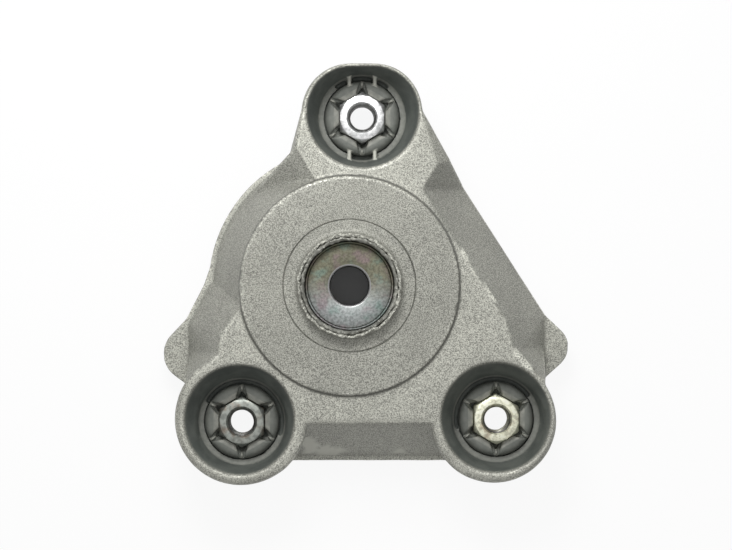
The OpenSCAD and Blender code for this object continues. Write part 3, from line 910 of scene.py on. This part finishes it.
def make_washer():
    """Turned washer, with a bevel round the rod's hole that gets a painted highlight, and a rounded outer
    edge.
    """
    hole_bevel = 0.7
    outer_r = CAN_NECK_R - CAN_T - 0.2
    line_r = WASHER_R - 0.15
    profile = [(ROD_R, WASHER_LOW), (outer_r, WASHER_LOW), (outer_r, WASHER_HIGH - 1.3),
               (outer_r - 0.15, WASHER_HIGH - 0.9), (outer_r - 0.4, WASHER_HIGH - 0.75),
               (line_r + 0.15, WASHER_HIGH - 0.8), (line_r, WASHER_HIGH - 0.45),
               (line_r - 0.2, WASHER_HIGH - 0.1), (line_r - 0.5, WASHER_HIGH),
               (ROD_R + hole_bevel, WASHER_HIGH),
               (ROD_R + hole_bevel - 0.15, WASHER_HIGH - 0.06), (ROD_R + 0.06, WASHER_HIGH - 0.55),
               (ROD_R, WASHER_HIGH - 0.7)]
    mesh = ring_mesh("turned_washer", turned_rings(profile, 256))
    points = mesh_points(mesh)
    from_axis = np.hypot(points[:, 0], points[:, 1])
    # Where the hole's bevel gets a painted highlight.
    bare = (from_axis < ROD_R + hole_bevel - 0.1) * (points[:, 2] > WASHER_HIGH - 0.6)
    store(mesh, "bare", bare)
    shade(mesh, 25)
    dress(new_object("turned_washer", mesh), ROD_SEAT, "rod_washer", washer_material())


def finish_node(name, material):
    """Give a CAD node its finish."""
    mesh = nodes[name].data
    mesh.materials.clear()
    mesh.materials.append(material)


# Stage


def make_camera():
    data = bpy.data.cameras.new("camera")
    data.sensor_width = SENSOR_MM
    data.lens = FOCAL_PX / PHOTO_W * SENSOR_MM
    data.shift_x = (CENTRE_PX[0] - AXIS_PX[0]) / PHOTO_W
    data.shift_y = (AXIS_PX[1] - CENTRE_PX[1]) / PHOTO_W
    data.clip_start = 0.01
    camera = link(bpy.data.objects.new("camera", data))
    camera.location = CAMERA_PLACE
    bpy.context.scene.camera = camera


def make_lights():
    """Soft dome that is brighter overhead, and a broad key light from the top of the picture."""
    world = bpy.data.worlds.new("studio")
    bpy.context.scene.world = world
    world.use_nodes = True
    tree = world.node_tree
    coords = add_node(tree, "ShaderNodeTexCoord", {}).outputs["Generated"]
    up = add_node(tree, "ShaderNodeSeparateXYZ", {0: coords}).outputs["Z"]
    feed(tree, tree.nodes["Background"], Color=grey(1.0), Strength=span(tree, up, 0.1, 1.0, 0.28, 0.72))
    lamp = bpy.data.lights.new("key", "AREA")
    lamp.energy = 1.12
    lamp.size = 0.18
    key = link(bpy.data.objects.new("key", lamp))
    key.location = Vector((-0.05, 0.25, 0.3))
    key.rotation_euler = (-key.location).to_track_quat("-Z", "Y").to_euler()
    key.visible_camera = False


def stage_plane(name, points, faces, material):
    mesh = bpy.data.meshes.new(name)
    mesh.from_pydata(points, [], faces)
    mesh.materials.append(material)
    new_object(name, mesh)


def pale_material(name):
    """Plain pale material, with its node tree and shader."""
    material = bpy.data.materials.new(name)
    material.use_nodes = True
    tree = material.node_tree
    shader = tree.nodes["Principled BSDF"]
    feed(tree, shader, Base_Color=grey(FLOOR_TONE), Roughness=0.9)
    return material, tree, shader


def make_floor():
    """White floor that keeps a soft shadow; under the hub it shows only the light that reaches it."""
    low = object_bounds()[0].z
    reach, hub_r, count = 2.0, 33 * MM, 64
    turn = [(math.cos(a), math.sin(a)) for a in angles(count)]
    inner = [(hub_r * x, hub_r * y, low) for x, y in turn]
    outer = [(reach * x, reach * y, low) for x, y in turn]
    quads = [(i, count + i, count + (i + 1) % count, (i + 1) % count) for i in range(count)]

    plain = pale_material("floor_under_hub")[0]
    white, tree, shader = pale_material("floor")
    paths = add_node(tree, "ShaderNodeLightPath", {}).outputs
    seen = calc(tree, "MAXIMUM", paths["Is Camera Ray"], paths["Is Glossy Ray"])
    seen = calc(tree, "MAXIMUM", seen, paths["Is Transmission Ray"])
    glow = add_node(tree, "ShaderNodeEmission", {"Color": (1, 1, 1, 1), "Strength": 1.0}).outputs[0]
    share = calc(tree, "MULTIPLY", seen, 0.9)
    mixed = add_node(tree, "ShaderNodeMixShader", {0: share, 1: shader.outputs[0], 2: glow}).outputs[0]
    tree.links.new(mixed, tree.nodes["Material Output"].inputs["Surface"])
    stage_plane("floor", inner + outer, quads, white)
    stage_plane("floor_under_hub", inner, [tuple(range(count))], plain)


# Tint, stain and share of stain on each nut
NUT_FINISHES = {"top": (grey(0.86), (0.70, 0.71, 0.70, 1), 0.08),
                "left": ((0.40, 0.42, 0.385, 1), (0.36, 0.315, 0.265, 1), 0.1),
                "right": ((1.0, 1.0, 0.8, 1), (0.62, 0.56, 0.43, 1), 0.04)}

make_camera()
make_lights()
make_housing()
for nut_side, finish in NUT_FINISHES.items():
    make_nut(nut_side, nut_material("zinc_" + nut_side, *finish))
make_can()
make_rubber()
make_washer()
# Painted shade: the sleeve's steel is near black so that the rod's hole reads dark.
finish_node("inner_sleeve", steel_material("turned_steel", grey(0.06), grey(0.13), 1500, 1.0))
make_floor()
bpy.context.scene.view_settings.view_transform = "Standard"
